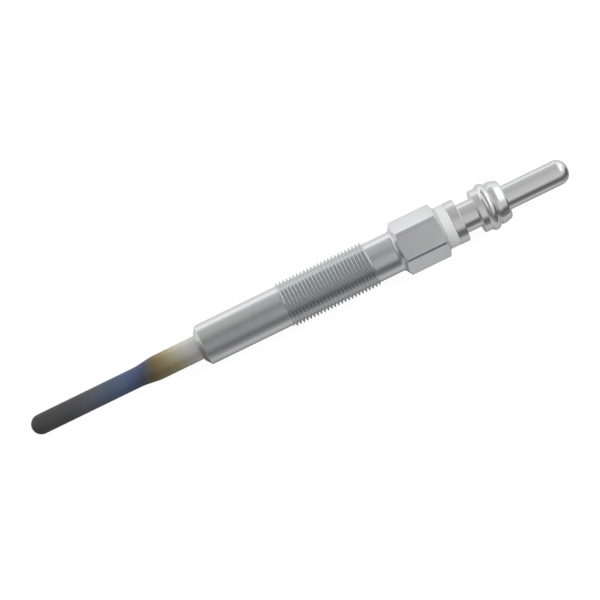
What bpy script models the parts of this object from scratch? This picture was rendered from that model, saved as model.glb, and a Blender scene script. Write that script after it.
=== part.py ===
"""Diesel glow plug with a round push-on terminal, lying on one flat of its hexagon.

Every piece is modelled about the plug's own axis. Its local Z is the distance from the heated tip, called its
station below, and its radius is measured from that axis. One empty then lays the whole plug down, so that the
axis runs along world +X, from the tip to the terminal pin, and the lowest flat touches the ground at Z = 0.
"""

import math

import bmesh
import bpy
from mathutils import Vector

MM = 0.001

# Glow tube: a closed metal sheath, swaged thinner over its front stretch and pressed into the body
TUBE_DIAMETER = 4.0 * MM
TIP_DIAMETER = 3.25 * MM
TUBE_WALL = 0.6 * MM
TIP_LENGTH = 18.75 * MM
SWAGE_LENGTH = 2.85 * MM
TUBE_EXPOSED = 29.15 * MM
TUBE_HELD = 22.25 * MM

# Body: turned from bar, with a sealing cone, a shank, a thread, a neck and a hexagon
CONE_FRONT_DIAMETER = 5.0 * MM
CONE_LENGTH = 0.8 * MM
SHANK_DIAMETER = 6.7 * MM
SHANK_LENGTH = 14.8 * MM
THREAD_DIAMETER = 7.55 * MM
THREAD_LENGTH = 15.05 * MM
NECK_DIAMETER = 6.6 * MM
NECK_LENGTH = 4.25 * MM
NECK_FILLET = 0.5 * MM
HEX_ACROSS_FLATS = 8.0 * MM
HEX_CORNER_LOSS = 0.24 * MM
HEX_LENGTH = 8.05 * MM
HEX_FRONT_CONE = math.radians(60)
HEX_REAR_CONE = math.radians(66)
HEX_REAR_FACE_DIAMETER = 6.8 * MM

# Connecting bolt: thin through the glow tube, thicker from there into the terminal
BOLT_DIAMETER = 1.9 * MM
BOLT_REAR_DIAMETER = 2.6 * MM
BOLT_SPIGOT_LENGTH = 5.0 * MM
BOLT_IN_TERMINAL = 4.6 * MM

# Coils: a short close one at the tip, and a longer open one whose last turns sit on the bolt's spigot
WIRE_DIAMETER = 0.32 * MM
POWDER_ROUND_COIL = 0.245 * MM
LEAD_STUB = 0.25 * MM
LEAD_LENGTH = 0.6 * MM
HEATING_PITCH = 0.65 * MM
HEATING_TURNS = 6
CONTROL_PITCH = 1.45 * MM
CONTROL_TURNS = 10
WELD_GAP = 0.18 * MM

# Seals: a bush in the glow tube's open end, and a round-section ring in the hexagon's rear end
TUBE_SEAL_LENGTH = 3.0 * MM
SEAL_RING_SECTION = 1.1 * MM

# White insulating washer, with a spigot that presses on the seal ring
WASHER_DIAMETER = 7.0 * MM
WASHER_THICKNESS = 1.7 * MM
WASHER_SPIGOT_LENGTH = 1.2 * MM
WASHER_EDGE = 0.12 * MM

# Terminal: one turned piece with a flange, a neck, a beaded snap collar and a round pin
FLANGE_DIAMETER = 7.05 * MM
FLANGE_LENGTH = 1.65 * MM
TERMINAL_NECK_DIAMETER = 4.75 * MM
TERMINAL_NECK_LENGTH = 2.7 * MM
COLLAR_DIAMETER = 7.05 * MM
COLLAR_LENGTH = 4.85 * MM
BEAD_DIAMETER = 7.85 * MM
BEAD_LENGTH = 1.5 * MM
BEAD_OFFSET = 1.9 * MM
GROOVE_LENGTH = 0.4 * MM
GROOVE_DEPTH = 0.1 * MM
COLLAR_TAPER_LENGTH = 1.3 * MM
COLLAR_NOSE_DIAMETER = 6.45 * MM
COLLAR_NOSE_EDGE = 0.25 * MM
PIN_DIAMETER = 4.05 * MM
PIN_LENGTH = 10.9 * MM
PIN_NOSE_RADIUS = 1.6 * MM
TERMINAL_EDGE = 0.15 * MM
TERMINAL_FILLET = 0.2 * MM

# Space between two pieces that seat on or in each other
FIT_GAP = 0.05 * MM

# Fineness
SEGMENTS = 48
SMALL_SEGMENTS = 30
DOME_STEPS = 5
FILLET_STEPS = 3
EDGE_STEPS = 2
BEAD_SHARES = (1, 0.7, 0.35, 0, -0.35, -0.7, -1)
NOSE_STEPS = 6
RING_STEPS = 8
WIRE_POINTS_PER_TURN = 10
WIRE_BEVEL_RESOLUTION = 2
MERGE_DISTANCE = 1e-7
SHARP_ANGLE = math.radians(25)

# Stations of the outer pieces, counted from the tip
SWAGE_END = TIP_LENGTH + SWAGE_LENGTH
BODY_FRONT = TUBE_EXPOSED
TUBE_END = TUBE_EXPOSED + TUBE_HELD
THREAD_START = BODY_FRONT + SHANK_LENGTH
THREAD_END = THREAD_START + THREAD_LENGTH
HEX_START = THREAD_END + NECK_LENGTH
HEX_END = HEX_START + HEX_LENGTH
WASHER_START = HEX_END + FIT_GAP
WASHER_END = HEX_END + WASHER_THICKNESS
TERMINAL_START = WASHER_END + FIT_GAP
FLANGE_END = WASHER_END + FLANGE_LENGTH
COLLAR_START = FLANGE_END + TERMINAL_NECK_LENGTH
COLLAR_END = COLLAR_START + COLLAR_LENGTH
OVERALL_LENGTH = COLLAR_END + PIN_LENGTH

# Radii that follow from the fits
HEX_CORNER_RADIUS = (HEX_ACROSS_FLATS / math.cos(math.pi / 6) - HEX_CORNER_LOSS) / 2
BORE_RADIUS = TUBE_DIAMETER / 2 + FIT_GAP
FILLING_RADIUS = TUBE_DIAMETER / 2 - TUBE_WALL - FIT_GAP
FILLING_TIP_RADIUS = TIP_DIAMETER / 2 - TUBE_WALL - FIT_GAP
COIL_RADIUS = TIP_DIAMETER / 2 - TUBE_WALL - POWDER_ROUND_COIL - WIRE_DIAMETER / 2
SPIGOT_RADIUS = COIL_RADIUS * math.cos(math.pi / WIRE_POINTS_PER_TURN) - WIRE_DIAMETER / 2 - FIT_GAP
REAR_HOLE_RADIUS = BOLT_REAR_DIAMETER / 2 + FIT_GAP
SEAL_SEAT_RADIUS = REAR_HOLE_RADIUS + SEAL_RING_SECTION + FIT_GAP

# Stations of the inner pieces
CAVITY_FRONT = TUBE_WALL
LEAD_START = CAVITY_FRONT + FIT_GAP
HEATING_START = LEAD_START + LEAD_STUB + LEAD_LENGTH
HEATING_END = HEATING_START + HEATING_TURNS * HEATING_PITCH
WELD_TURN = WELD_GAP / (2 * math.pi * COIL_RADIUS)
CONTROL_START = HEATING_END + WELD_TURN * CONTROL_PITCH
CONTROL_END = CONTROL_START + CONTROL_TURNS * CONTROL_PITCH
BOLT_SHOULDER = max(CONTROL_END + WIRE_DIAMETER, SWAGE_END)
SPIGOT_FRONT = BOLT_SHOULDER - BOLT_SPIGOT_LENGTH
FILLING_END = TUBE_END - TUBE_SEAL_LENGTH
BOLT_STEP = TUBE_END + FIT_GAP
BOLT_END = TERMINAL_START + BOLT_IN_TERMINAL
WASHER_SPIGOT_FRONT = HEX_END - WASHER_SPIGOT_LENGTH
SEAL_RING_MIDDLE = WASHER_SPIGOT_FRONT - FIT_GAP - SEAL_RING_SECTION / 2
SEAL_SEAT_FLOOR = SEAL_RING_MIDDLE - SEAL_RING_SECTION / 2 - FIT_GAP

# Height of the axis when the plug lies down
REST_HEIGHT = max(HEX_ACROSS_FLATS, SHANK_DIAMETER, THREAD_DIAMETER, BEAD_DIAMETER) / 2


def clear_scene():
    for obj in list(bpy.data.objects):
        bpy.data.objects.remove(obj)


def new_collection(name):
    collection = bpy.data.collections.new(name)
    bpy.context.scene.collection.children.link(collection)
    return collection


def new_material(name, colour, roughness, metallic):
    material = bpy.data.materials.new(name)
    material.use_nodes = True
    shader = material.node_tree.nodes["Principled BSDF"]
    shader.inputs["Base Color"].default_value = (*colour, 1.0)
    shader.inputs["Roughness"].default_value = roughness
    shader.inputs["Metallic"].default_value = metallic
    return material


def arc(station, radius, half_length, half_height, start_deg, end_deg, steps):
    """Points of an elliptical arc about a middle. 0 degrees points to the terminal, 90 away from the axis."""
    turns = [math.radians(start_deg + (end_deg - start_deg) * i / steps) for i in range(steps + 1)]
    return [(station + half_length * math.cos(a), radius + half_height * math.sin(a)) for a in turns]


def dome(radius):
    """The tube's round end at a given radius, from its side to its point on the axis."""
    return arc(TIP_DIAMETER / 2, 0.0, radius, radius, 90, 180, DOME_STEPS)


def swage(thick_radius, thin_radius):
    """The tube's long cone from its thick stretch down to its thin one."""
    return [(SWAGE_END, thick_radius), (TIP_LENGTH, thin_radius)]


def as_mesh(obj):
    """Gives an object the mesh that its modifiers make, shaded smooth between its edges."""
    graph = bpy.context.evaluated_depsgraph_get()
    mesh = bpy.data.meshes.new_from_object(obj.evaluated_get(graph))
    obj.modifiers.clear()
    obj.data = mesh
    mesh.shade_smooth()
    mesh.set_sharp_from_angle(angle=SHARP_ANGLE)
    return obj


def turned(name, outline, collection, segments=SEGMENTS, ring=False):
    """Spins (station, radius) points about the axis. They run back along the outer side, towards the tip.

    A ring's outline is closed, from its last point to its first. Any other starts and ends on the axis.
    """
    mesh = bpy.data.meshes.new(name)
    points = [(radius, 0.0, station) for station, radius in outline]
    edges = [(i, i + 1) for i in range(len(points) - 1)]
    if ring:
        edges.append((len(points) - 1, 0))
    mesh.from_pydata(points, edges, [])
    obj = bpy.data.objects.new(name, mesh)
    collection.objects.link(obj)
    spin = obj.modifiers.new("Spin", "SCREW")
    spin.axis = "Z"
    spin.steps = segments
    spin.render_steps = segments
    spin.use_merge_vertices = True
    spin.merge_threshold = MERGE_DISTANCE
    return as_mesh(obj)


def wire(name, path, thickness, collection):
    """A round wire along the path, with closed ends."""
    curve = bpy.data.curves.new(name, "CURVE")
    curve.dimensions = "3D"
    curve.bevel_depth = thickness / 2
    curve.bevel_resolution = WIRE_BEVEL_RESOLUTION
    curve.use_fill_caps = True
    spline = curve.splines.new("POLY")
    spline.points.add(len(path) - 1)
    for point, place in zip(spline.points, path):
        point.co = (*place, 1.0)
    obj = bpy.data.objects.new(name, curve)
    collection.objects.link(obj)
    return obj


def wire_to_mesh(obj, collection):
    """A mesh object in a wire's place, with its end caps welded on."""
    graph = bpy.context.evaluated_depsgraph_get()
    mesh = bpy.data.meshes.new_from_object(obj.evaluated_get(graph))
    form = bmesh.new()
    form.from_mesh(mesh)
    bmesh.ops.remove_doubles(form, verts=form.verts, dist=MERGE_DISTANCE)
    form.to_mesh(mesh)
    form.free()
    made = bpy.data.objects.new(obj.name + "_mesh", mesh)
    made.matrix_world = obj.matrix_world
    collection.objects.link(made)
    bpy.data.objects.remove(obj)
    return made


def cut(obj, cutter):
    """Takes the cutter's shape out of an object."""
    cutter.hide_render = True
    cutter.display_type = "WIRE"
    boolean = obj.modifiers.new("Cut", "BOOLEAN")
    boolean.operation = "DIFFERENCE"
    boolean.object = cutter
    bpy.context.view_layer.update()
    return as_mesh(obj)


def glow_tube(collection):
    """The sheath's outline runs inside from the tip's hollow to the open end, and back outside to the tip."""
    outer = TUBE_DIAMETER / 2
    tip_outer = TIP_DIAMETER / 2
    inside = dome(tip_outer - TUBE_WALL)
    inside = [(TUBE_END, outer - TUBE_WALL), *swage(outer - TUBE_WALL, tip_outer - TUBE_WALL), *inside]
    outside = [(TUBE_END, outer), *swage(outer, tip_outer), *dome(tip_outer)]
    return turned("glow_tube", inside[::-1] + outside, collection, SMALL_SEGMENTS)


def body_outline():
    """The turned body before its flats are milled: its stepped bore, then its outside from the rear."""
    shank = SHANK_DIAMETER / 2
    thread = THREAD_DIAMETER / 2
    neck = NECK_DIAMETER / 2
    rear_face = HEX_REAR_FACE_DIAMETER / 2
    rear_run = (HEX_CORNER_RADIUS - rear_face) / math.tan(HEX_REAR_CONE)
    fillet_end = 270 + math.degrees(HEX_FRONT_CONE)
    fillet = arc(HEX_START, neck + NECK_FILLET, NECK_FILLET, NECK_FILLET, fillet_end, 270, FILLET_STEPS)
    front_station, front_radius = fillet[0]
    front_run = (HEX_CORNER_RADIUS - front_radius) / math.tan(HEX_FRONT_CONE)
    run_out = abs(thread - neck)
    run_in = abs(thread - shank)
    return [
        (BODY_FRONT, BORE_RADIUS),
        (SEAL_SEAT_FLOOR, BORE_RADIUS),
        (SEAL_SEAT_FLOOR, SEAL_SEAT_RADIUS),
        (HEX_END, SEAL_SEAT_RADIUS),
        (HEX_END, rear_face),
        (HEX_END - rear_run, HEX_CORNER_RADIUS),
        (front_station + front_run, HEX_CORNER_RADIUS),
        *fillet,
        (THREAD_END + run_out / 2, neck),
        (THREAD_END - run_out / 2, thread),
        (THREAD_START + run_in / 2, thread),
        (THREAD_START - run_in / 2, shank),
        (BODY_FRONT + CONE_LENGTH, shank),
        (BODY_FRONT, CONE_FRONT_DIAMETER / 2),
    ]


def upright_cylinder(name, sides, radius, start, end, collection):
    """A primitive cylinder about the plug's axis between two stations."""
    bpy.ops.mesh.primitive_cylinder_add(
        vertices=sides, radius=radius, depth=end - start, location=(0, 0, (start + end) / 2)
    )
    obj = bpy.context.object
    obj.name = name
    for old in list(obj.users_collection):
        old.objects.unlink(obj)
    collection.objects.link(obj)
    return obj


def flats_cutter(collection):
    """All that lies outside the six flats, from the middle of the neck to behind the hexagon."""
    start = HEX_START - NECK_LENGTH / 2
    end = HEX_END + HEX_LENGTH / 2
    around = upright_cylinder("around_flats", SEGMENTS, 2 * HEX_CORNER_RADIUS, start, end, collection)
    prism_radius = HEX_ACROSS_FLATS / 2 / math.cos(math.pi / 6)
    prism = upright_cylinder(
        "hexagonal_bar", 6, prism_radius, start - NECK_LENGTH, end + NECK_LENGTH, collection
    )
    return cut(around, prism)


def body_shell(collection, cutters):
    body = turned("body_shell", body_outline(), collection, ring=True)
    return cut(body, flats_cutter(cutters))


def winding(start, end, first_turn, last_turn, first_radius, last_radius):
    """Points along a coil between two stations, evenly spaced, with its radius growing evenly."""
    count = round((last_turn - first_turn) * WIRE_POINTS_PER_TURN)
    places = []
    for i in range(count + 1):
        share = i / count
        radius = first_radius + (last_radius - first_radius) * share
        angle = 2 * math.pi * (first_turn + (last_turn - first_turn) * share)
        station = start + (end - start) * share
        places.append((radius * math.cos(angle), radius * math.sin(angle), station))
    return places


def heating_path():
    """The lead spirals out over half a turn from the middle of the dome, where it is welded to the tube."""
    stub_end = LEAD_START + LEAD_STUB
    lead = winding(stub_end, HEATING_START, -0.5, 0, 0.0, COIL_RADIUS)
    turns = winding(HEATING_START, HEATING_END, 0, HEATING_TURNS, COIL_RADIUS, COIL_RADIUS)
    return [(0.0, 0.0, LEAD_START), *lead, *turns[1:]]


def control_path():
    """The second coil goes on where the first one ends, past the weld between them."""
    first_turn = HEATING_TURNS + WELD_TURN
    last_turn = first_turn + CONTROL_TURNS
    return winding(CONTROL_START, CONTROL_END, first_turn, last_turn, COIL_RADIUS, COIL_RADIUS)


def run_on(path, length):
    """The path with both ends run on in a straight line."""
    points = [Vector(place) for place in path]
    before = points[0] + (points[0] - points[1]).normalized() * length
    after = points[-1] + (points[-1] - points[-2]).normalized() * length
    return [before, *points, after]


def filling_outline():
    """The filling fits the tube's hollow and is bored for the bolt and its spigot."""
    hollow = [(FILLING_END - FIT_GAP, FILLING_RADIUS), *swage(FILLING_RADIUS, FILLING_TIP_RADIUS)]
    return [
        (SPIGOT_FRONT - FIT_GAP, 0.0),
        (SPIGOT_FRONT - FIT_GAP, SPIGOT_RADIUS + FIT_GAP),
        (BOLT_SHOULDER - FIT_GAP, SPIGOT_RADIUS + FIT_GAP),
        (BOLT_SHOULDER - FIT_GAP, BOLT_DIAMETER / 2 + FIT_GAP),
        (FILLING_END - FIT_GAP, BOLT_DIAMETER / 2 + FIT_GAP),
        *hollow,
        *dome(FILLING_TIP_RADIUS),
    ]


def magnesia_filling(collection, cutters):
    """Packed powder, with one channel for both coils that opens at the dome and on the bolt's spigot."""
    filling = turned("magnesia_filling", filling_outline(), collection, SMALL_SEGMENTS)
    path = run_on(heating_path() + control_path(), 2 * FIT_GAP)
    channel = wire("coil_channel", path, WIRE_DIAMETER + 2 * FIT_GAP, cutters)
    return cut(filling, wire_to_mesh(channel, cutters))


def connecting_bolt(collection):
    outline = [
        (BOLT_END, 0.0),
        (BOLT_END, BOLT_REAR_DIAMETER / 2),
        (BOLT_STEP, BOLT_REAR_DIAMETER / 2),
        (BOLT_STEP, BOLT_DIAMETER / 2),
        (BOLT_SHOULDER, BOLT_DIAMETER / 2),
        (BOLT_SHOULDER, SPIGOT_RADIUS),
        (SPIGOT_FRONT, SPIGOT_RADIUS),
        (SPIGOT_FRONT, 0.0),
    ]
    return turned("connecting_bolt", outline, collection, SMALL_SEGMENTS)


def tube_seal(collection):
    """The bush that closes the tube's open end round the bolt."""
    inner = BOLT_DIAMETER / 2 + FIT_GAP
    outline = [
        (FILLING_END, inner),
        (TUBE_END, inner),
        (TUBE_END, FILLING_RADIUS),
        (FILLING_END, FILLING_RADIUS),
    ]
    return turned("tube_seal", outline, collection, SMALL_SEGMENTS, ring=True)


def seal_ring(collection):
    """The round-section ring between the bolt and the body."""
    section = SEAL_RING_SECTION / 2
    outline = arc(SEAL_RING_MIDDLE, REAR_HOLE_RADIUS + section, section, section, 0, 360, RING_STEPS)
    return turned("seal_ring", outline[1:], collection, SMALL_SEGMENTS, ring=True)


def insulating_washer(collection):
    rim = WASHER_DIAMETER / 2 - WASHER_EDGE
    spigot = SEAL_SEAT_RADIUS - FIT_GAP
    rear_edge = WASHER_END - WASHER_EDGE
    front_edge = WASHER_START + WASHER_EDGE
    outline = [
        (WASHER_SPIGOT_FRONT, REAR_HOLE_RADIUS),
        (WASHER_END, REAR_HOLE_RADIUS),
        *arc(rear_edge, rim, WASHER_EDGE, WASHER_EDGE, 0, 90, EDGE_STEPS),
        *arc(front_edge, rim, WASHER_EDGE, WASHER_EDGE, 90, 180, EDGE_STEPS),
        (WASHER_START, spigot),
        (WASHER_SPIGOT_FRONT, spigot),
    ]
    return turned("insulating_washer", outline, collection, ring=True)


def collar_outline():
    """The snap collar from its nose forward: taper, land, groove, arched bead and front land."""
    collar = COLLAR_DIAMETER / 2
    nose = COLLAR_NOSE_DIAMETER / 2
    bead_middle = COLLAR_START + BEAD_OFFSET
    bead_height = BEAD_DIAMETER / 2 - collar
    groove_middle = bead_middle + (BEAD_LENGTH + GROOVE_LENGTH) / 2
    groove = arc(groove_middle, collar, GROOVE_LENGTH / 2, GROOVE_DEPTH, 360, 180, FILLET_STEPS)
    half_bead = BEAD_LENGTH / 2
    bead = [(bead_middle + half_bead * u, collar + bead_height * (1 - u * u)) for u in BEAD_SHARES]
    return [
        (COLLAR_END, nose - COLLAR_NOSE_EDGE),
        (COLLAR_END - COLLAR_NOSE_EDGE, nose),
        (COLLAR_END - COLLAR_TAPER_LENGTH, collar),
        *groove,
        *bead[1:],
        (COLLAR_START + TERMINAL_EDGE, collar),
        (COLLAR_START, collar - TERMINAL_EDGE),
    ]


def terminal_neck_outline():
    """The neck between collar and flange, with a small fillet at each end."""
    radius = TERMINAL_NECK_DIAMETER / 2 + TERMINAL_FILLET
    size = TERMINAL_FILLET
    return [
        *arc(COLLAR_START - size, radius, size, size, 360, 270, EDGE_STEPS),
        *arc(FLANGE_END + size, radius, size, size, 270, 180, EDGE_STEPS),
    ]


def terminal_connector(collection):
    """Pin, snap collar, neck and flange in one, bored from the flange for the bolt."""
    pin = PIN_DIAMETER / 2
    flange = FLANGE_DIAMETER / 2
    nose_station = OVERALL_LENGTH - PIN_NOSE_RADIUS
    nose_face = pin - PIN_NOSE_RADIUS
    outline = [
        (OVERALL_LENGTH, 0.0),
        *arc(nose_station, nose_face, PIN_NOSE_RADIUS, PIN_NOSE_RADIUS, 0, 90, NOSE_STEPS),
        (COLLAR_END, pin),
        *collar_outline(),
        *terminal_neck_outline(),
        (FLANGE_END, flange - TERMINAL_EDGE),
        (FLANGE_END - TERMINAL_EDGE, flange),
        (TERMINAL_START + TERMINAL_EDGE, flange),
        (TERMINAL_START, flange - TERMINAL_EDGE),
        (TERMINAL_START, REAR_HOLE_RADIUS),
        (BOLT_END + FIT_GAP, REAR_HOLE_RADIUS),
        (BOLT_END + FIT_GAP, 0.0),
    ]
    return turned("terminal_connector", outline, collection)


def build():
    clear_scene()
    plug = new_collection("glow_plug")
    cutters = new_collection("cutters")
    steel = new_material("plated_steel", (0.55, 0.56, 0.57), 0.3, 1.0)
    nickel = new_material("nickel_plate", (0.62, 0.62, 0.62), 0.22, 1.0)
    bolt_steel = new_material("bright_bolt_steel", (0.5, 0.5, 0.5), 0.35, 1.0)
    sheath = new_material("heat_tinted_sheath", (0.08, 0.08, 0.09), 0.45, 0.8)
    white = new_material("white_insulator", (0.85, 0.85, 0.85), 0.45, 0.0)
    bush = new_material("grey_bush", (0.2, 0.2, 0.2), 0.7, 0.0)
    rubber = new_material("black_ring", (0.03, 0.03, 0.03), 0.6, 0.0)
    powder = new_material("packed_magnesia", (0.8, 0.79, 0.75), 0.9, 0.0)
    heating_wire = new_material("heating_wire", (0.35, 0.33, 0.31), 0.4, 1.0)
    control_wire = new_material("control_wire", (0.5, 0.48, 0.45), 0.35, 1.0)
    pieces = [
        (glow_tube(plug), sheath),
        (body_shell(plug, cutters), steel),
        (magnesia_filling(plug, cutters), powder),
        (connecting_bolt(plug), bolt_steel),
        (tube_seal(plug), bush),
        (seal_ring(plug), rubber),
        (insulating_washer(plug), white),
        (terminal_connector(plug), nickel),
        (wire("heating_coil", heating_path(), WIRE_DIAMETER, plug), heating_wire),
        (wire("control_coil", control_path(), WIRE_DIAMETER, plug), control_wire),
    ]
    axis = bpy.data.objects.new("plug_axis", None)
    plug.objects.link(axis)
    axis.rotation_euler = (0.0, math.pi / 2, 0.0)
    axis.location = (-OVERALL_LENGTH / 2, 0.0, REST_HEIGHT)
    for obj, material in pieces:
        obj.data.materials.clear()
        obj.data.materials.append(material)
        obj.parent = axis


build()
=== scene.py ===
# %% [markdown]
# # A diesel glow plug, seen as a product on a white table
#
# A glow plug is a small electric heater that is screwed into a diesel engine. Its thin sheath glows at the tip, its
# steel body carries a thread and a hexagon, and a round push-on terminal brings the current. The solids of every
# piece are already made, at their real size. This script adds what they leave out: soft edges, the real thread,
# the finish of each metal, and the picture. It starts by loading the solids, and keeps the box they fill, because
# nothing made here may be larger.

# %% Load the solids
import math

import bmesh
import bpy
from mathutils import Matrix, Vector


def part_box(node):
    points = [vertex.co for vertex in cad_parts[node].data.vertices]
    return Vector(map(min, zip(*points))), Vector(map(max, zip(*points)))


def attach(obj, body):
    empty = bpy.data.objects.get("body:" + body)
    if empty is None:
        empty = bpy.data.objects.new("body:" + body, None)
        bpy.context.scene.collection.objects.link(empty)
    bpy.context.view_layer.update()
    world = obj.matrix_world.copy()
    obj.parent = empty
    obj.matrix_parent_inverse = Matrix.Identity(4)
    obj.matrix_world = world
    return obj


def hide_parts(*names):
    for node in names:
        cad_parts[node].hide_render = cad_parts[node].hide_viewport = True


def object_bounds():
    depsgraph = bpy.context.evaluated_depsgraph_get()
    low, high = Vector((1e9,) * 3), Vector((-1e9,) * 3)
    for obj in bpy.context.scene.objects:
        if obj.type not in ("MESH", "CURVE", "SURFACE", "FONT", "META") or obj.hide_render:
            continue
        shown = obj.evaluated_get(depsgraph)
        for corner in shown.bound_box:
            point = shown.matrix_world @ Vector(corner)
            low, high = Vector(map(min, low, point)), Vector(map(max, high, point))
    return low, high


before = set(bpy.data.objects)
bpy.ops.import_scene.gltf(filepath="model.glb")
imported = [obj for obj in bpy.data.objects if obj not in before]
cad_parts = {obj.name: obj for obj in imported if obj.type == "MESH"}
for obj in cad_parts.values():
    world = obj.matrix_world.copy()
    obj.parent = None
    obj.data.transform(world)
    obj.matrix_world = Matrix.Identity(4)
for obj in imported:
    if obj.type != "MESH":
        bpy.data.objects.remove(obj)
cad_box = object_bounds()
print("solids:", ", ".join(sorted(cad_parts)))
print("size in mm:", [round(1000 * (high - low), 2) for low, high in zip(*cad_box)])

# %% [markdown]
# ## Read the main sizes from the solids
#
# The plug lies along X, with its tip at the low end. Every length below is a station: the distance from the tip, in
# millimetres. Reading radii and stations from the solids' boxes means that each piece made here fits what it
# replaces, even after a size is changed there.

# %% Stations and radii of the solids
MM = 0.001
tip_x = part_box("glow_tube")[0].x
axis_z = sum(corner.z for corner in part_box("glow_tube")) / 2


def stations(node):
    """Where a solid starts and ends along the plug, in mm from the tip."""
    low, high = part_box(node)
    return (low.x - tip_x) / MM, (high.x - tip_x) / MM


def radius_of(node):
    """A round solid's largest radius in mm."""
    low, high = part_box(node)
    return (high.y - low.y) / 2 / MM


FIT_GAP = 0.05
tube_end = stations("glow_tube")[1]
body_front, hex_end = stations("body_shell")
washer_end = stations("insulating_washer")[1]
plug_end = stations("terminal_connector")[1]
print("axis height", round(axis_z / MM, 3), "mm, length", round(plug_end, 2), "mm")
print("body from", round(body_front, 2), "to", round(hex_end, 2), "mm")

# %% [markdown]
# ## Camera
#
# The photograph looks straight down on the plug from about 27 cm. The plug's axis rises to the right by 26 degrees,
# so the camera is turned about its own line of sight by that angle. The rims of the steps on the body show how far
# away the camera was: over the shank they look straight, and towards the terminal they bulge more and more to the
# right. Turning the camera instead of the plug keeps the plug in the frame of its solids.

# %% Place the camera
PICTURE_TILT = math.radians(25.99)
LEAN = math.radians(-0.57)
DISTANCE = 270 * MM
PICTURE_WIDTH = 93.9 * MM
SENSOR = 36.0
look_at = Vector((0.02 * MM, -0.28 * MM, axis_z))

camera_data = bpy.data.cameras.new("camera")
camera = bpy.data.objects.new("camera", camera_data)
bpy.context.scene.collection.objects.link(camera)
bpy.context.scene.camera = camera
camera_data.sensor_width = SENSOR
camera_data.lens = SENSOR * DISTANCE / PICTURE_WIDTH

back = Vector((-math.sin(LEAN), 0.0, math.cos(LEAN)))
across = Vector((math.cos(PICTURE_TILT), -math.sin(PICTURE_TILT), 0.0))
up = back.cross(across).normalized()
right = up.cross(back).normalized()
camera.matrix_world = Matrix.Translation(look_at + back * DISTANCE) @ Matrix((right, up, back)).transposed().to_4x4()
print("lens", round(camera_data.lens, 1), "mm at", round(DISTANCE / MM), "mm")

# %% [markdown]
# ## Small helpers for node trees
#
# Every finish below is a handful of nodes on one Principled shader. They could be laid out by hand in the node
# editor, but a script can be read and changed. Short helpers keep it readable: one adds a node, one links or sets a
# socket, and the others make the nodes that return most, for sums, ranges, colour ramps, mixes and noise.

# %% Node helpers
def add(tree, kind, **values):
    """A new node, with its attributes set."""
    node = tree.nodes.new(kind)
    for name, value in values.items():
        setattr(node, name, value)
    return node


def feed(tree, socket, value):
    """Links a socket to another, or sets its value."""
    if isinstance(value, bpy.types.NodeSocket):
        tree.links.new(value, socket)
    else:
        socket.default_value = value


def calculate(tree, operation, *values):
    """A Math node's result."""
    node = add(tree, "ShaderNodeMath", operation=operation)
    for socket, value in zip(node.inputs, values):
        feed(tree, socket, value)
    return node.outputs[0]


def spread(tree, value, low, high, new_low, new_high, smooth=False):
    """The value moved from one range to another, and held at its ends."""
    node = add(tree, "ShaderNodeMapRange", interpolation_type="SMOOTHSTEP" if smooth else "LINEAR")
    for socket, number in zip(node.inputs, (value, low, high, new_low, new_high)):
        feed(tree, socket, number)
    return node.outputs[0]


def ramp(tree, value, stops):
    """A colour ramp with (position, colour) stops. A single number stands for a grey."""
    node = add(tree, "ShaderNodeValToRGB")
    elements = node.color_ramp.elements
    while len(elements) < len(stops):
        elements.new(0.5)
    for element, (position, colour) in zip(elements, stops):
        element.position = position
        rgb = (colour,) * 3 if isinstance(colour, (int, float)) else colour
        element.color = (*rgb, 1.0)
    feed(tree, node.inputs[0], value)
    return node.outputs[0]


def mix_colours(tree, share, first, second, kind="MIX"):
    """Two colours mixed, or blended in another way, by a share."""
    node = add(tree, "ShaderNodeMix", data_type="RGBA", blend_type=kind)
    feed(tree, node.inputs["Factor"], share)
    feed(tree, node.inputs["A"], first)
    feed(tree, node.inputs["B"], second)
    return node.outputs["Result"]


def noise(tree, place, scale, detail=2.0, roughness=0.5):
    """A noise texture's value, at a scale in details per metre."""
    node = add(tree, "ShaderNodeTexNoise")
    feed(tree, node.inputs["Vector"], place)
    node.inputs["Scale"].default_value = scale
    node.inputs["Detail"].default_value = detail
    node.inputs["Roughness"].default_value = roughness
    return node.outputs["Fac"]


print("node helpers ready")

# %% [markdown]
# ## The light
#
# Polished round metal shows its surroundings as long stripes, so the surroundings are the picture. The photograph's
# stripes say what stood there: a soft tent of light, darker straight above where the camera is, brighter towards the
# terminal, and one dark flag low along the near side. Lamps and cards could stand there too, but each stripe would
# need its own. The world paints them all by direction instead. The direction's sideways share, around the plug's
# axis, picks the brightness, and its lengthwise share blends towards the brighter end.

# %% The tent of light
world = bpy.data.worlds.new("tent")
bpy.context.scene.world = world
world.use_nodes = True
tree = world.node_tree
tree.nodes.clear()

direction = add(tree, "ShaderNodeTexCoord").outputs["Generated"]
flattened = add(tree, "ShaderNodeVectorMath", operation="MULTIPLY")
feed(tree, flattened.inputs[0], direction)
flattened.inputs[1].default_value = (0.0, 1.0, 1.0)
unit = add(tree, "ShaderNodeVectorMath", operation="NORMALIZE")
feed(tree, unit.inputs[0], flattened.outputs[0])
around = add(tree, "ShaderNodeSeparateXYZ")
feed(tree, around.inputs[0], unit.outputs[0])
lengthwise = add(tree, "ShaderNodeSeparateXYZ")
feed(tree, lengthwise.inputs[0], direction)
side = around.outputs["Y"]


def by_side(levels):
    """Brightness by the sideways share of a direction, from -1 on the near side to 1 on the far side."""
    return ramp(tree, spread(tree, side, -1.0, 1.0, 0.0, 1.0), [((s + 1) / 2, level) for s, level in levels])


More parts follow.
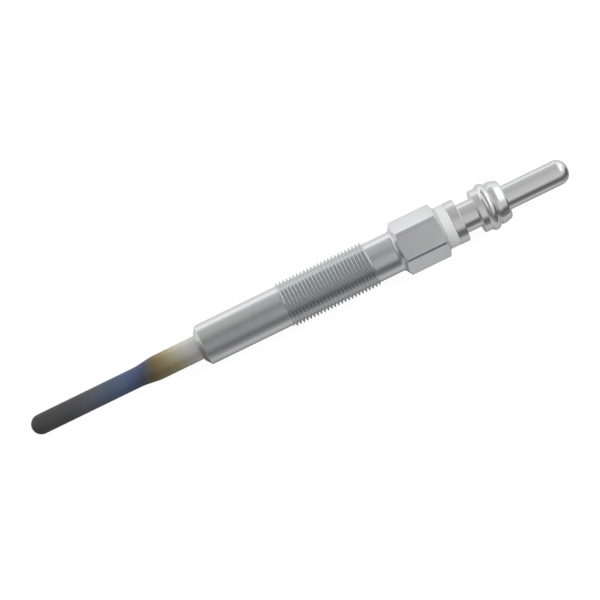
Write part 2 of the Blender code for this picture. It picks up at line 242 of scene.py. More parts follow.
CAMERA_LEVELS = [
    (-1.0, 0.36), (-0.98, 0.30), (-0.94, 0.23), (-0.84, 0.195), (-0.7, 0.235), (-0.5, 0.31), (-0.3, 0.315),
    (0.15, 0.26), (0.4, 0.31), (0.6, 0.43), (0.75, 0.5), (0.95, 0.54), (1.0, 0.66),
]
TERMINAL_LEVELS = [
    (-1.0, 0.25), (-0.97, 0.14), (-0.84, 0.145), (-0.72, 0.38), (-0.6, 0.64), (-0.4, 0.65), (0.0, 0.62),
    (0.4, 0.58), (0.85, 0.54), (0.96, 0.57), (1.0, 0.70),
]
FAR_SIDE_SLANT = -0.13
BLEND_START, BLEND_END = -0.04, 0.098
far_share = calculate(tree, "MAXIMUM", side, 0.0)
slant = calculate(tree, "MULTIPLY_ADD", far_share, FAR_SIDE_SLANT, lengthwise.outputs["X"])
towards_terminal = spread(tree, slant, BLEND_START, BLEND_END, 0.0, 1.0, smooth=True)
blend = mix_colours(tree, towards_terminal, by_side(CAMERA_LEVELS), by_side(TERMINAL_LEVELS))

# %% [markdown]
# Rims, the bead and the pin's round nose look further along the plug. Towards the terminal they mirror a large white
# panel, and towards the tip a dark gap with a narrow light band behind it. Neither comes down to the near side. The
# flat stretches never see them.

# %% What the rounded edges mirror
NEAR_SIDE_END, ABOVE_IT = -0.4, 0.25
TIP_END_FROM, TIP_END_FULL = -0.1, -0.3
PANEL_FROM, PANEL_FULL = 0.3, 0.4
TIP_LEVELS = [(-1.0, 0.36), (-0.86, 0.42), (-0.76, 0.92), (-0.52, 0.92), (-0.4, 0.27), (0.0, 0.27)]
PANEL_LEVELS = [(0.0, 0.55), (0.34, 0.55), (0.48, 1.25), (0.86, 1.25), (0.97, 0.5), (1.0, 0.5)]
tip_end = ramp(tree, spread(tree, lengthwise.outputs["X"], -1.0, 0.0, 0.0, 1.0), [(x + 1, v) for x, v in TIP_LEVELS])
terminal_end = ramp(tree, lengthwise.outputs["X"], PANEL_LEVELS)
above_near_side = spread(tree, side, NEAR_SIDE_END, ABOVE_IT, 0.0, 1.0, smooth=True)
in_tip_end = spread(tree, lengthwise.outputs["X"], TIP_END_FROM, TIP_END_FULL, 0.0, 1.0)
in_terminal_end = spread(tree, lengthwise.outputs["X"], PANEL_FROM, PANEL_FULL, 0.0, 1.0)
with_tip = mix_colours(tree, calculate(tree, "MULTIPLY", in_tip_end, above_near_side), blend, tip_end)
with_both = mix_colours(tree, calculate(tree, "MULTIPLY", in_terminal_end, above_near_side), with_tip, terminal_end)

tent = add(tree, "ShaderNodeBackground")
feed(tree, tent.inputs["Color"], with_both)
white = add(tree, "ShaderNodeBackground")
white.inputs["Color"].default_value = (1.0, 1.0, 1.0, 1.0)
seen = add(tree, "ShaderNodeMixShader")
feed(tree, seen.inputs[0], add(tree, "ShaderNodeLightPath").outputs["Is Camera Ray"])
feed(tree, seen.inputs[1], tent.outputs[0])
feed(tree, seen.inputs[2], white.outputs[0])
feed(tree, add(tree, "ShaderNodeOutputWorld").inputs["Surface"], seen.outputs[0])
print("tent of light made with", len(tree.nodes), "nodes")

# %% [markdown]
# Two soft boxes fill in from above, the stronger one from the terminal's side, where the hexagon does not shade the
# washer. They light matt surfaces only, the white washer and the dark sheath, and stay out of what the metal mirrors,
# so that the stripes keep their contrast.

# %% Two soft boxes for matt surfaces
BOX_DISTANCE = 0.5
BOX_SIZE = 0.34


def soft_box(name, towards, radiance):
    """A square area lamp that faces the plug, with the brightness of its surface given."""
    data = bpy.data.lights.new(name, "AREA")
    data.shape = "SQUARE"
    data.size = BOX_SIZE
    data.energy = radiance * math.pi * BOX_SIZE * BOX_SIZE
    lamp = bpy.data.objects.new(name, data)
    bpy.context.scene.collection.objects.link(lamp)
    facing = Vector(towards).normalized()
    lamp.location = look_at + facing * BOX_DISTANCE
    lamp.rotation_euler = facing.to_track_quat("Z", "Y").to_euler()
    lamp.visible_glossy = False
    print(name, "of", round(data.energy, 2), "W")


soft_box("terminal_soft_box", (0.62, 0.10, 0.78), 2.1)
soft_box("tip_soft_box", (-0.45, 0.30, 0.84), 0.9)

# %% [markdown]
# ## The table
#
# The photograph's ground is plain white. The camera sees the table mostly as an even glow of white with a little of
# its true shading mixed in, so the plug keeps a faint shadow. What the metal mirrors in the table is painted light
# and shade: a glow painted brighter on the far side, a painted pool of light, and dimmer on the near side, a painted
# shadow of the plug that is darkest in a narrow strip along it. Both sides change in steps beside the sheath, the
# body and the terminal, and a painted shade lies beyond the pin, where its round nose mirrors it.

# %% The table
TABLE_SIZE = 6.0
TABLE_WHITE = 0.82
GLOW_STRENGTH = 1.09
GLOW_SHARE = 0.85
bpy.ops.mesh.primitive_plane_add(size=TABLE_SIZE, location=(0.0, 0.0, cad_box[0].z))
table = bpy.context.object
table.name = "table"

material = bpy.data.materials.new("white_table")
material.use_nodes = True
table.data.materials.append(material)
tree = material.node_tree
tree.nodes.clear()
rays = add(tree, "ShaderNodeLightPath")
matt = add(tree, "ShaderNodeBsdfDiffuse")
matt.inputs["Color"].default_value = (TABLE_WHITE, TABLE_WHITE, TABLE_WHITE, 1.0)
glow = add(tree, "ShaderNodeEmission")
glow.inputs["Strength"].default_value = GLOW_STRENGTH
camera_look = add(tree, "ShaderNodeMixShader")
feed(tree, camera_look.inputs[0], calculate(tree, "MULTIPLY", rays.outputs["Is Camera Ray"], GLOW_SHARE))
feed(tree, camera_look.inputs[1], matt.outputs[0])
feed(tree, camera_look.inputs[2], glow.outputs[0])
bpy.context.scene.view_settings.view_transform = "Standard"
print("table at z =", round(cad_box[0].z / MM, 3), "mm")

# %% Painted light and shade that the metal mirrors in the table
place = add(tree, "ShaderNodeSeparateXYZ")
feed(tree, place.inputs[0], add(tree, "ShaderNodeTexCoord").outputs["Object"])
REACH = 0.1
BODY_FROM, BODY_FULL = -0.022, -0.014
TERMINAL_FROM, TERMINAL_FULL = 0.024, 0.027
# Painted shade: beyond the pin's end, the near half of the table glows dimmer.
PAINTED_SHADE_FROM, PAINTED_SHADE_FULL, PAINTED_SHADE_LOSS = 0.005, 0.014, 0.75
NEAR_HALF_EDGE = 0.004
plug_half = plug_end / 2 * MM
sideways = spread(tree, place.outputs["Y"], -REACH, REACH, 0.0, 1.0)
# Painted light on the far side, and a painted shadow of the plug on the near side, darkest right beside it.
FAR_SIDE = [(0.52, 0.70), (0.54, 0.83), (0.56, 0.98), (0.61, 1.19), (0.71, 1.12), (1.0, 0.88)]
FAR_TERMINAL = [(0.52, 0.66), (0.54, 0.74), (0.56, 0.85), (0.61, 1.0), (0.71, 1.02), (1.0, 0.8)]
NEAR_SHEATH = [(0.0, 0.4), (0.36, 0.5), (0.44, 0.4), (0.48, 0.12)]
NEAR_BODY = [(0.0, 0.46), (0.36, 0.57), (0.44, 0.57), (0.46, 0.42), (0.48, 0.18)]
NEAR_TERMINAL = [(0.0, 0.47), (0.3, 0.47), (0.36, 0.52), (0.44, 0.52), (0.46, 0.46), (0.48, 0.25)]
beside_sheath = ramp(tree, sideways, NEAR_SHEATH + FAR_SIDE)
beside_body = ramp(tree, sideways, NEAR_BODY + FAR_SIDE)
beside_terminal = ramp(tree, sideways, NEAR_TERMINAL + FAR_TERMINAL)
at_body = spread(tree, place.outputs["X"], BODY_FROM, BODY_FULL, 0.0, 1.0)
at_terminal = spread(tree, place.outputs["X"], TERMINAL_FROM, TERMINAL_FULL, 0.0, 1.0)
front_half = mix_colours(tree, at_body, beside_sheath, beside_body)
painted_table_light = mix_colours(tree, at_terminal, front_half, beside_terminal)
beyond_pin = spread(tree, place.outputs["X"], plug_half + PAINTED_SHADE_FROM, plug_half + PAINTED_SHADE_FULL, 0.0, 1.0)
near_half = spread(tree, place.outputs["Y"], NEAR_HALF_EDGE, 0.0, 0.0, 1.0)
strength = calculate(tree, "MULTIPLY_ADD", calculate(tree, "MULTIPLY", beyond_pin, near_half), -PAINTED_SHADE_LOSS, 1.0)
mirrored = add(tree, "ShaderNodeEmission")
feed(tree, mirrored.inputs["Color"], painted_table_light)
feed(tree, mirrored.inputs["Strength"], strength)
glossy_or_glass = calculate(tree, "MAXIMUM", rays.outputs["Is Glossy Ray"], rays.outputs["Is Transmission Ray"])
final_look = add(tree, "ShaderNodeMixShader")
feed(tree, final_look.inputs[0], glossy_or_glass)
feed(tree, final_look.inputs[1], camera_look.outputs[0])
feed(tree, final_look.inputs[2], mirrored.outputs[0])
feed(tree, add(tree, "ShaderNodeOutputMaterial").inputs["Surface"], final_look.outputs[0])
print("table material made with", len(tree.nodes), "nodes")

# %% [markdown]
# ## Turning a piece
#
# Every visible piece came off a lathe, so each is made as a lathe makes it: an outline of stations and radii, spun
# about the axis. Blender's Screw modifier does that with one outline. A hexagon and a thread need outlines that
# differ from angle to angle, so this helper asks for the outline at each angle, and joins them into a grid.

# %% Spin an outline into a mesh
WELD = 1e-8
SHARP = math.radians(30)


def spin(name, outline_at, angles, closed, helix=None):
    """A closed mesh from a column of (station, radius) points at each angle, in mm and degrees from +Y.

    closed joins each column's last point to its first. helix gives the first and last row of a thread, and how many
    rows it climbs in one turn: after a full turn those rows meet the ones that they have climbed to.
    """
    columns = [outline_at(angle) for angle in angles]
    rows = len(columns[0])
    points = []
    for angle, column in zip(angles, columns):
        y, z = math.cos(math.radians(angle)), math.sin(math.radians(angle))
        points += [(tip_x + s * MM, r * y * MM, axis_z + r * z * MM) for s, r in column]
    same_row = list(range(rows))
    climbed = list(same_row)
    if helix:
        first, last, climb = helix
        climbed[first : last + 1] = [min(max(row + climb, first), last) for row in range(first, last + 1)]
    faces = []
    for i in range(len(angles)):
        wraps = i == len(angles) - 1
        here, there = i * rows, 0 if wraps else (i + 1) * rows
        meets = climbed if wraps else same_row
        for low in range(rows - (0 if closed else 1)):
            high = (low + 1) % rows
            faces.append((here + low, here + high, there + meets[high], there + meets[low]))
    mesh = bpy.data.meshes.new(name)
    mesh.from_pydata(points, [], faces)
    form = bmesh.new()
    form.from_mesh(mesh)
    bmesh.ops.remove_doubles(form, verts=form.verts, dist=WELD)
    bmesh.ops.dissolve_degenerate(form, edges=form.edges, dist=WELD)
    bmesh.ops.recalc_face_normals(form, faces=form.faces)
    open_edges = sum(not edge.is_manifold for edge in form.edges)
    form.to_mesh(mesh)
    form.free()
    mesh.shade_smooth()
    mesh.set_sharp_from_angle(angle=SHARP)
    piece = bpy.data.objects.new(name, mesh)
    bpy.context.scene.collection.objects.link(piece)
    triangles = sum(len(face.vertices) - 2 for face in mesh.polygons)
    print(name, triangles, "triangles,", open_edges, "open edges")
    return piece


def evenly(count):
    """Angles round the axis."""
    return [360 * i / count for i in range(count)]


# %% [markdown]
# Real edges are never knife-sharp, and it is the tiny round on each edge that catches a line of light. A Bevel
# modifier would round them all alike, but here each has its own size, so the outline is rounded before it is spun. A
# point may carry a third number, the length that its corner loses on each side, and the corner becomes a small curve
# between the two cuts. Shading is smoothed between points, so a long straight would shade as if the curve began at
# its far end. One more point just outside each cut holds it flat.

# %% Round the corners of an outline
CORNER_STEPS = 4
HOLD = 0.03
MOST_CUT, MOST_HELD = 0.96, 0.98


def cut(corner, towards, length):
    """Where a corner's curve begins on the straight to another point, and the point that holds the straight flat."""
    straight = towards - corner
    way, half = straight.normalized(), straight.length / 2
    return corner + way * min(length, half * MOST_CUT), corner + way * min(length + HOLD, half * MOST_HELD)


def rounded(outline):
    """(station, radius[, corner]) points in mm, with each corner that has a length rounded off."""
    soft = []
    for i, point in enumerate(outline):
        here = Vector(point[:2])
        if len(point) == 2:
            soft.append(tuple(here))
            continue
        before, after = Vector(outline[i - 1][:2]), Vector(outline[i + 1][:2])
        start, hold_before = cut(here, before, point[2])
        end, hold_after = cut(here, after, point[2])
        soft.append(tuple(hold_before))
        for k in range(CORNER_STEPS + 1):
            u = k / CORNER_STEPS
            soft.append(tuple(start.lerp(here, u).lerp(here.lerp(end, u), u)))
        soft.append(tuple(hold_after))
    return soft


def ellipse(station, radius, half_length, half_height, start, end, steps):
    """Points of an elliptical arc. 0 degrees points to the terminal and 90 away from the axis."""
    turns = [math.radians(start + (end - start) * i / steps) for i in range(steps + 1)]
    return [(station + half_length * math.cos(a), radius + half_height * math.sin(a)) for a in turns]


print("corner steps:", CORNER_STEPS)

# %% [markdown]
# ## Finish: plated steel
#
# The body is steel with a thin bright plating. Under the plating are the fine rings that the cutting tool left, so
# its roughness changes quickly along the axis and hardly at all round it. An anisotropic shader would blur the light
# the same way but show no rings, and a noise texture squeezed along X shows them. The plating also has the faintest
# green and lilac clouds, which a slow noise mixes into the grey.

# %% A turned, plated metal
CLOUD_SCALE = 260
RINGS_ALONG, RINGS_AROUND = 5200, 260
UNEVEN_SCALE = 420
RING_SHARE = 0.6


def squeezed(tree, along, around_it):
    """Object coordinates in details per metre, squeezed along the axis so that noise turns into rings."""
    place = add(tree, "ShaderNodeTexCoord").outputs["Object"]
    mapping = add(tree, "ShaderNodeMapping")
    feed(tree, mapping.inputs["Vector"], place)
    mapping.inputs["Scale"].default_value = (along, around_it, around_it)
    return mapping.outputs["Vector"]


def turned_metal(name, cool, warm, roughness, ring_depth):
    """Bright metal with tool rings: two close tints, a middle roughness, and the depth of its rings in metres."""
    material = bpy.data.materials.new(name)
    material.use_nodes = True
    tree = material.node_tree
    shader = tree.nodes["Principled BSDF"]
    shader.inputs["Metallic"].default_value = 1.0
    clouds = noise(tree, add(tree, "ShaderNodeTexCoord").outputs["Object"], CLOUD_SCALE, 3.0)
    tint = ramp(tree, spread(tree, clouds, 0.3, 0.7, 0.0, 1.0), [(0.0, cool), (1.0, warm)])
    feed(tree, shader.inputs["Base Color"], tint)
    rings = noise(tree, squeezed(tree, RINGS_ALONG, RINGS_AROUND), 1.0, 4.0, 0.65)
    uneven = noise(tree, squeezed(tree, UNEVEN_SCALE, UNEVEN_SCALE), 1.0, 3.0)
    rest = calculate(tree, "MULTIPLY", uneven, 1 - RING_SHARE)
    both = calculate(tree, "MULTIPLY_ADD", rings, RING_SHARE, rest)
    feed(tree, shader.inputs["Roughness"], spread(tree, both, 0.35, 0.65, roughness - 0.04, roughness + 0.05))
    bump = add(tree, "ShaderNodeBump")
    bump.inputs["Strength"].default_value = 1.0
    bump.inputs["Distance"].default_value = ring_depth
    feed(tree, bump.inputs["Height"], rings)
    feed(tree, shader.inputs["Normal"], bump.outputs[0])
    return material


body_finish = turned_metal("plated_steel", (0.690, 0.738, 0.718), (0.730, 0.712, 0.746), 0.18, 1.5e-6)
terminal_finish = turned_metal("bright_nickel", (0.79, 0.80, 0.797), (0.805, 0.797, 0.811), 0.11, 0.6e-6)
print("metals:", body_finish.name, terminal_finish.name)

# %% [markdown]
# ## Finish: heat tints
#
# A sheath that has glowed wears its temperature as colour. Oxide grows thicker towards the hot tip and passes through
# straw, bronze, purple and blue until it is a matt charcoal crust. A colour ramp along the axis holds those stops.
# The fronts of the tints lean, one way where blue meets bronze and the other way where straw meets bare metal, and
# they wander a little. So the ramp is read at a station that is shifted by the sideways place and by a slow noise.
# Bare metal mirrors and crust does not, so the same station drives the metallic value and the roughness.

# %% Heat-tinted sheath
TINTS_START, TINTS_END = 0.0, 30.0
TINTS = [
    (0.0, (0.057, 0.057, 0.058)),
    (7.3, (0.071, 0.071, 0.073)),
    (10.2, (0.090, 0.102, 0.121)),
    (13.7, (0.096, 0.126, 0.188)),
    (16.2, (0.111, 0.150, 0.272)),
    (18.2, (0.108, 0.142, 0.258)),
    (19.4, (0.122, 0.134, 0.205)),
    (20.3, (0.165, 0.172, 0.158)),
    (21.4, (0.275, 0.214, 0.118)),
    (22.8, (0.405, 0.325, 0.178)),
    (24.7, (0.580, 0.525, 0.340)),
    (26.4, (0.695, 0.675, 0.570)),
    (28.0, (0.765, 0.755, 0.738)),
]
BLUE_FRONT, BLUE_LEAN = 20.2, -0.6
STRAW_FRONT, STRAW_LEAN = 25.2, 0.36
TINT_WANDER, WANDER_SCALE = 0.9, 300
GRAIN_SCALE, GRAIN_SHARE, GRAIN_DEPTH = 9000, 0.35, 3e-6
CRUST_END, METAL_START, CRUST_METALLIC = 9.0, 24.0, 0.15
DULL_END, BARE_START = 10.0, 26.0
CRUST_ROUGHNESS, BARE_ROUGHNESS = 0.55, 0.57

tint_metal = bpy.data.materials.new("heat_tinted_sheath")
tint_metal.use_nodes = True
tree = tint_metal.node_tree
shader = tree.nodes["Principled BSDF"]
place = add(tree, "ShaderNodeTexCoord").outputs["Object"]
axes = add(tree, "ShaderNodeSeparateXYZ")
feed(tree, axes.inputs[0], place)
along = calculate(tree, "MULTIPLY_ADD", axes.outputs["X"], 1 / MM, -tip_x / MM)
lean = spread(tree, along, BLUE_FRONT, STRAW_FRONT, BLUE_LEAN / MM, STRAW_LEAN / MM)
skewed = calculate(tree, "MULTIPLY_ADD", axes.outputs["Y"], lean, along)
wander = noise(tree, place, WANDER_SCALE, 3.0)
station = calculate(tree, "MULTIPLY_ADD", wander, TINT_WANDER, calculate(tree, "SUBTRACT", skewed, TINT_WANDER / 2))
share = spread(tree, station, TINTS_START, TINTS_END, 0.0, 1.0)
colour = ramp(tree, share, [((s - TINTS_START) / (TINTS_END - TINTS_START), rgb) for s, rgb in TINTS])
grain = noise(tree, place, GRAIN_SCALE, 3.0, 0.6)
speckled = mix_colours(tree, GRAIN_SHARE, colour, ramp(tree, grain, [(0.3, 0.7), (0.7, 1.0)]), "MULTIPLY")
feed(tree, shader.inputs["Base Color"], speckled)
metallic = spread(tree, station, CRUST_END, METAL_START, CRUST_METALLIC, 1.0, smooth=True)
roughness = spread(tree, station, DULL_END, BARE_START, CRUST_ROUGHNESS, BARE_ROUGHNESS, smooth=True)
feed(tree, shader.inputs["Metallic"], metallic)
feed(tree, shader.inputs["Roughness"], roughness)
crust = add(tree, "ShaderNodeBump")
crust.inputs["Strength"].default_value = 1.0
crust.inputs["Distance"].default_value = GRAIN_DEPTH
feed(tree, crust.inputs["Height"], grain)
feed(tree, shader.inputs["Normal"], crust.outputs[0])
print("heat tints:", len(TINTS), "stops over", TINTS_END, "mm")

# %% [markdown]
# ## The glow tube
#
# The sheath is drawn tube, closed at the tip by a round dome and swaged down over its front nineteen millimetres. A
# cylinder could be scaled ring by ring into that shape, but an outline keeps every diameter in view. The tube is
# hollow, so its outline runs to the tip along the inside and comes back along the outside. A long cone joins its
# two diameters, and swaging leaves no edge there, so both of the cone's ends are rounded.

# %% Glow tube
TUBE_STEPS = 128
TIP_RADIUS = 1.625
THIN_END = 18.75
THICK_START = 21.6
SWAGE_BEND = 0.5
DOME_STEPS = 14

tube_radius = radius_of("glow_tube")
tube_wall = tube_radius - radius_of("magnesia_filling") - FIT_GAP


def tube_side(wall):
    """One side of the tube's wall, from its open end to the point of the dome."""
    thick, thin = tube_radius - wall, TIP_RADIUS - wall
    swage = [(THICK_START, thick, SWAGE_BEND), (THIN_END, thin, SWAGE_BEND)]
    dome = ellipse(TIP_RADIUS, 0.0, thin, thin, 90, 180, DOME_STEPS)
    return rounded([(tube_end, thick), *swage, (TIP_RADIUS + HOLD, thin), *dome])


tube_outline = tube_side(tube_wall)[::-1] + tube_side(0.0)
glow_tube = spin("sheath", lambda angle: tube_outline, evenly(TUBE_STEPS), closed=False)
glow_tube.data.materials.append(tint_metal)
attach(glow_tube, "root")
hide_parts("glow_tube")

# %% [markdown]
# ## The body
#
# The body is one turned piece: a sealing cone, a plain shank, the thread, a neck, and the hexagon. Its outline is
# drawn from the rear bore round to the front, in the order in which a hand would follow it.
#
# The hexagon comes from the outline too. Seen at one angle, a hexagonal bar is a round bar of some radius: the
# distance from the axis to the flat, divided by the cosine of the angle to the flat's middle. The two turned cones
# cut that bar further out at the corners than on the flats, which gives the curved edges that every bolt head has.

# %% The hexagon at one angle
ACROSS_FLATS = 8.0
hex_corner = radius_of("body_shell")
REAR_FACE_RADIUS = 3.5
REAR_CONE = math.radians(66)
FRONT_CONE = math.radians(60)
HEX_LENGTH = 8.05
NECK_RADIUS = 3.3
NECK_FILLET = 0.65
FILLET_LEAD = 0.14
HEX_EDGE = 0.05
FILLET_STEPS = 8
CORNER_COLUMNS = (-2.2, -1.1, 0.0, 1.1, 2.2)
FLAT_START, FLAT_STEPS = 3.2, 12
fillet_start = hex_end - HEX_LENGTH - FILLET_LEAD


def bar_radius(angle):
    """How far out the hexagon's surface is at an angle. Corners lie at 0, 60, ... degrees."""
    off_middle = math.radians(angle % 60 - 30)
    return min(ACROSS_FLATS / 2 / math.cos(off_middle), hex_corner)


def hexagon(angle):
    """Rear face, rear cone, flat or corner, front cone and the fillet down to the neck."""
    reach = bar_radius(angle)
    fillet_top = 270 + math.degrees(FRONT_CONE)
    fillet = ellipse(fillet_start, NECK_RADIUS + NECK_FILLET, NECK_FILLET, NECK_FILLET, fillet_top, 270, FILLET_STEPS)
    cone_station, cone_radius = fillet[0]
    rear = hex_end - (reach - REAR_FACE_RADIUS) / math.tan(REAR_CONE)
    front = cone_station + (reach - cone_radius) / math.tan(FRONT_CONE)
    neck = (fillet_start - HOLD, NECK_RADIUS)
    edges = [(hex_end, REAR_FACE_RADIUS, HEX_EDGE), (rear, reach, HEX_EDGE), (front, reach, HEX_EDGE)]
    return [*edges, *fillet, neck]


def hexagon_angles():
    """Angles round the body, with columns close together at the corners."""
    flat = [FLAT_START + (60 - 2 * FLAT_START) * i / FLAT_STEPS for i in range(FLAT_STEPS + 1)]
    return [60 * k + angle for k in range(6) for angle in [*CORNER_COLUMNS, *flat]]


print("hexagon", ACROSS_FLATS, "mm across flats,", round(2 * hex_corner, 2), "mm across corners")

# %% [markdown]
# ### The thread
#
# A right-hand thread climbs one pitch along the axis for each turn about it. So at every angle the tooth has the same
# shape, only shifted by that angle's share of the pitch. A Screw modifier could cut it, but it would then have to be
# joined to the shank. Here each column of points gets its corners exactly on the crests and roots, and after a full
# turn the rows join up one tooth further along. Where a tooth would pass the end of the threaded stretch, its points
# are held at that end. A short fade brings the tooth height to nothing there, which is the run-out of a real die.

# %% The thread at one angle
PITCH = 0.6
CREST_RADIUS = 3.77
ROOT_RADIUS = 3.26
SHANK_RADIUS = 3.35
SHANK_LENGTH = 14.8
THREAD_LENGTH = 15.18
TOOTH_POINTS = 12
RUN_IN, RUN_OUT = 0.15, 0.22
thread_start = body_front + SHANK_LENGTH
thread_end = thread_start + THREAD_LENGTH
tooth_count = math.ceil(THREAD_LENGTH / PITCH)


def tooth_height(station):
    """1 on the full thread, fading to 0 at its two ends."""
    rise = min(1.0, (station - thread_start) / RUN_IN)
    fall = min(1.0, (thread_end - station) / RUN_OUT)
    return max(0.0, min(rise, fall))


def thread(angle):
    """The thread's points at one angle, from the front to the rear."""
    column = []
    for row in range(-TOOTH_POINTS, (tooth_count + 1) * TOOTH_POINTS):
        share = row / TOOTH_POINTS
        station = thread_start + (share + angle / 360) * PITCH
        station = min(max(station, thread_start), thread_end)
        rise = math.sin(math.pi * share) ** 2
        core = SHANK_RADIUS + (NECK_RADIUS - SHANK_RADIUS) * (station - thread_start) / THREAD_LENGTH
        tooth = ROOT_RADIUS + (CREST_RADIUS - ROOT_RADIUS) * rise
        column.append((station, core + (tooth - core) * tooth_height(station)))
    return column


print("thread of", round(THREAD_LENGTH / PITCH, 1), "turns at", PITCH, "mm")

# %% Body
CONE_LENGTH = 0.8
CONE_FRONT_RADIUS = 2.3
bore = tube_radius + FIT_GAP
seal_seat = radius_of("seal_ring") + FIT_GAP
seal_floor = stations("seal_ring")[0] - FIT_GAP


def body_rear(angle):
    """The outline from the bore's rear end round the hexagon to the neck, at one angle."""
    return rounded([(hex_end, seal_seat), *hexagon(angle), (thread_end + HOLD, NECK_RADIUS)])


def body_at(angle):
    """The body's whole outline at one angle. It is closed, from the bore round to the bore."""
    front = [
        (thread_start - HOLD, SHANK_RADIUS),
        (body_front + CONE_LENGTH, SHANK_RADIUS, 0.12),
        (body_front, CONE_FRONT_RADIUS, 0.06),
        (body_front, bore),
        (seal_floor, bore),
        (seal_floor, seal_seat),
        (hex_end, seal_seat),
    ]
    return body_rear(angle) + thread(angle)[::-1] + rounded(front)


first_row = len(body_rear(0))
last_row = first_row + len(thread(0)) - 1
body = spin("body", body_at, hexagon_angles(), closed=True, helix=(first_row, last_row, -TOOTH_POINTS))
body.data.materials.append(body_finish)
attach(body, "root")
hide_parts("body_shell")

# %% [markdown]
# ## The insulating washer
#
# White moulded plastic with a soft gloss. One white would do from afar, but a fine noise in its colour, its gloss and
# its surface keeps it from looking like paper. Its front part, the spigot, stands inside the hexagon's bore, so the
# outline has a step, and only the wide ring behind it is seen.

# %% White plastic
MOTTLE_SCALE = 700
SKIN_SCALE, SKIN_DEPTH = 5000, 4e-6
white_plastic = bpy.data.materials.new("white_plastic")
white_plastic.use_nodes = True
tree = white_plastic.node_tree
shader = tree.nodes["Principled BSDF"]
place = add(tree, "ShaderNodeTexCoord").outputs["Object"]
mottle = noise(tree, place, MOTTLE_SCALE, 3.0)
feed(tree, shader.inputs["Base Color"], ramp(tree, mottle, [(0.3, (0.80, 0.80, 0.81)), (0.7, (0.84, 0.84, 0.84))]))
feed(tree, shader.inputs["Roughness"], spread(tree, mottle, 0.3, 0.7, 0.38, 0.5))
moulded = add(tree, "ShaderNodeBump")
moulded.inputs["Strength"].default_value = 1.0
moulded.inputs["Distance"].default_value = SKIN_DEPTH
feed(tree, moulded.inputs["Height"], noise(tree, place, SKIN_SCALE, 2.0))
feed(tree, shader.inputs["Normal"], moulded.outputs[0])
print("plastic:", white_plastic.name)

# %% Washer
FACE_GAP = 0.005
WASHER_EDGE = 0.05
washer_radius = radius_of("insulating_washer")
washer_bore = radius_of("connecting_bolt") + FIT_GAP
spigot_front = stations("insulating_washer")[0]
spigot_radius = seal_seat - FIT_GAP
washer_front = hex_end + FACE_GAP
washer_outline = rounded(
    [
        (spigot_front, washer_bore),
        (washer_end, washer_bore),
        (washer_end, washer_radius, WASHER_EDGE),
        (washer_front, washer_radius, WASHER_EDGE),
        (washer_front, spigot_radius),
        (spigot_front, spigot_radius),
    ]
)
washer = spin("washer", lambda angle: washer_outline, evenly(TUBE_STEPS), closed=True)
washer.data.materials.append(white_plastic)
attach(washer, "root")
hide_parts("insulating_washer")

# %% [markdown]
# ## The terminal
#
# One turned, nickel-plated piece: a flange that holds the washer down, a neck, the collar that the cable's connector
# snaps over, and the pin. The collar carries a round bead with a narrow groove behind it, and tapers to the pin. The
# bead could be a torus of its own, but it is the same metal, and one outline leaves no seam under it.

# %% Terminal
FLANGE_LENGTH = 1.65
FLANGE_RADIUS = 3.525
TERMINAL_NECK_RADIUS = 2.375
TERMINAL_NECK_LENGTH = 2.7
COLLAR_LENGTH = 4.85
COLLAR_RADIUS = 3.525
BEAD_OFFSET, BEAD_LENGTH, BEAD_HALF_STEPS = 1.9, 1.5, 8
GROOVE_LENGTH, GROOVE_DEPTH = 0.36, 0.2
COLLAR_TAPER, COLLAR_NOSE_RADIUS, COLLAR_NOSE_EDGE = 1.3, 3.225, 0.25
PIN_RADIUS, PIN_NOSE = 2.025, 1.72
NOSE_STEPS, GROOVE_STEPS = 16, 8
bead_height = radius_of("terminal_connector") - COLLAR_RADIUS
flange_end = washer_end + FLANGE_LENGTH
collar_start = flange_end + TERMINAL_NECK_LENGTH
collar_end = collar_start + COLLAR_LENGTH
bead_middle = collar_start + BEAD_OFFSET
groove_middle = bead_middle + (BEAD_LENGTH + GROOVE_LENGTH) / 2
bolt_end = stations("connecting_bolt")[1] + FIT_GAP
bead_shares = [1 - i / BEAD_HALF_STEPS for i in range(2 * BEAD_HALF_STEPS + 1)]
bead = [(bead_middle + BEAD_LENGTH / 2 * u, COLLAR_RADIUS + bead_height * (1 - u * u)) for u in bead_shares]
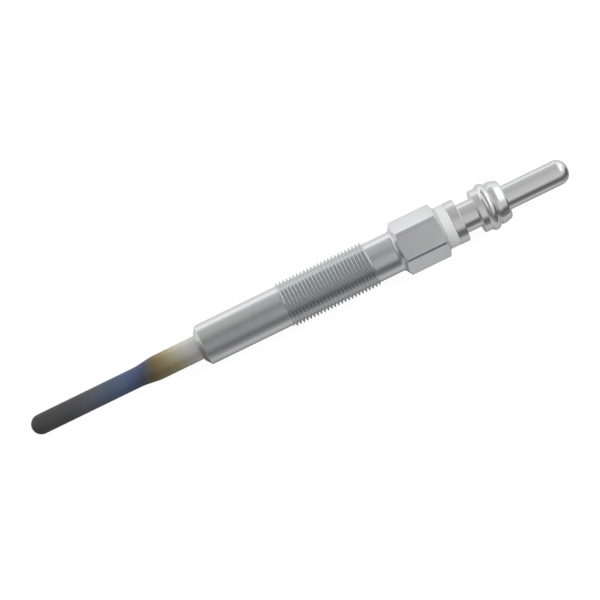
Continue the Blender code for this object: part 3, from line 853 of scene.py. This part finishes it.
terminal_outline = rounded(
    [
        (plug_end, 0.0),
        *ellipse(plug_end - PIN_NOSE, PIN_RADIUS - PIN_NOSE, PIN_NOSE, PIN_NOSE, 0, 90, NOSE_STEPS),
        (plug_end - PIN_NOSE - HOLD, PIN_RADIUS),
        (collar_end, PIN_RADIUS, 0.12),
        (collar_end, COLLAR_NOSE_RADIUS - COLLAR_NOSE_EDGE, 0.1),
        (collar_end - COLLAR_NOSE_EDGE, COLLAR_NOSE_RADIUS, 0.12),
        (collar_end - COLLAR_TAPER, COLLAR_RADIUS, 0.15),
        *ellipse(groove_middle, COLLAR_RADIUS, GROOVE_LENGTH / 2, GROOVE_DEPTH, 360, 180, GROOVE_STEPS),
        *bead[1:],
        (collar_start, COLLAR_RADIUS, 0.16),
        (collar_start, TERMINAL_NECK_RADIUS, 0.06),
        (flange_end, TERMINAL_NECK_RADIUS, 0.06),
        (flange_end, FLANGE_RADIUS, 0.12),
        (washer_end + FACE_GAP, FLANGE_RADIUS, 0.04),
        (washer_end + FACE_GAP, washer_bore),
        (bolt_end, washer_bore),
        (bolt_end, 0.0),
    ]
)
terminal = spin("terminal", lambda angle: terminal_outline, evenly(TUBE_STEPS), closed=False)
terminal.data.materials.append(terminal_finish)
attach(terminal, "root")
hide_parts("terminal_connector")

# %% [markdown]
# ## What is inside
#
# Six pieces are hidden in the assembled plug: both coils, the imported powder, the bolt and the two seals. Their solids
# already have the right shape, so they only get a finish, which shows when the plug is taken apart.

# %% Finishes of the inner pieces
def plain_finish(name, light, dark, scale, roughness, metallic):
    """A mottled material for a piece that is hidden in use."""
    material = bpy.data.materials.new(name)
    material.use_nodes = True
    tree = material.node_tree
    shader = tree.nodes["Principled BSDF"]
    shader.inputs["Metallic"].default_value = metallic
    mottle = noise(tree, add(tree, "ShaderNodeTexCoord").outputs["Object"], scale, 3.0)
    feed(tree, shader.inputs["Base Color"], ramp(tree, mottle, [(0.3, dark), (0.7, light)]))
    feed(tree, shader.inputs["Roughness"], spread(tree, mottle, 0.3, 0.7, roughness - 0.06, roughness + 0.06))
    return material


INNER = {
    "heating_coil": plain_finish("resistance_wire", (0.38, 0.36, 0.34), (0.30, 0.28, 0.26), 3000, 0.4, 1.0),
    "control_coil": plain_finish("nickel_wire", (0.55, 0.53, 0.49), (0.46, 0.44, 0.41), 3000, 0.34, 1.0),
    "magnesia_filling": plain_finish("packed_powder", (0.84, 0.83, 0.79), (0.76, 0.75, 0.70), 6000, 0.9, 0.0),
    "connecting_bolt": plain_finish("drawn_steel", (0.53, 0.53, 0.53), (0.46, 0.46, 0.47), 1500, 0.34, 1.0),
    "tube_seal": plain_finish("grey_bush", (0.23, 0.23, 0.23), (0.18, 0.18, 0.18), 2000, 0.7, 0.0),
    "seal_ring": plain_finish("black_rubber", (0.035, 0.035, 0.035), (0.025, 0.025, 0.025), 2000, 0.6, 0.0),
}
for node, finish in INNER.items():
    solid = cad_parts[node]
    solid.data.materials.clear()
    solid.data.materials.append(finish)
print("inner pieces finished:", len(INNER))
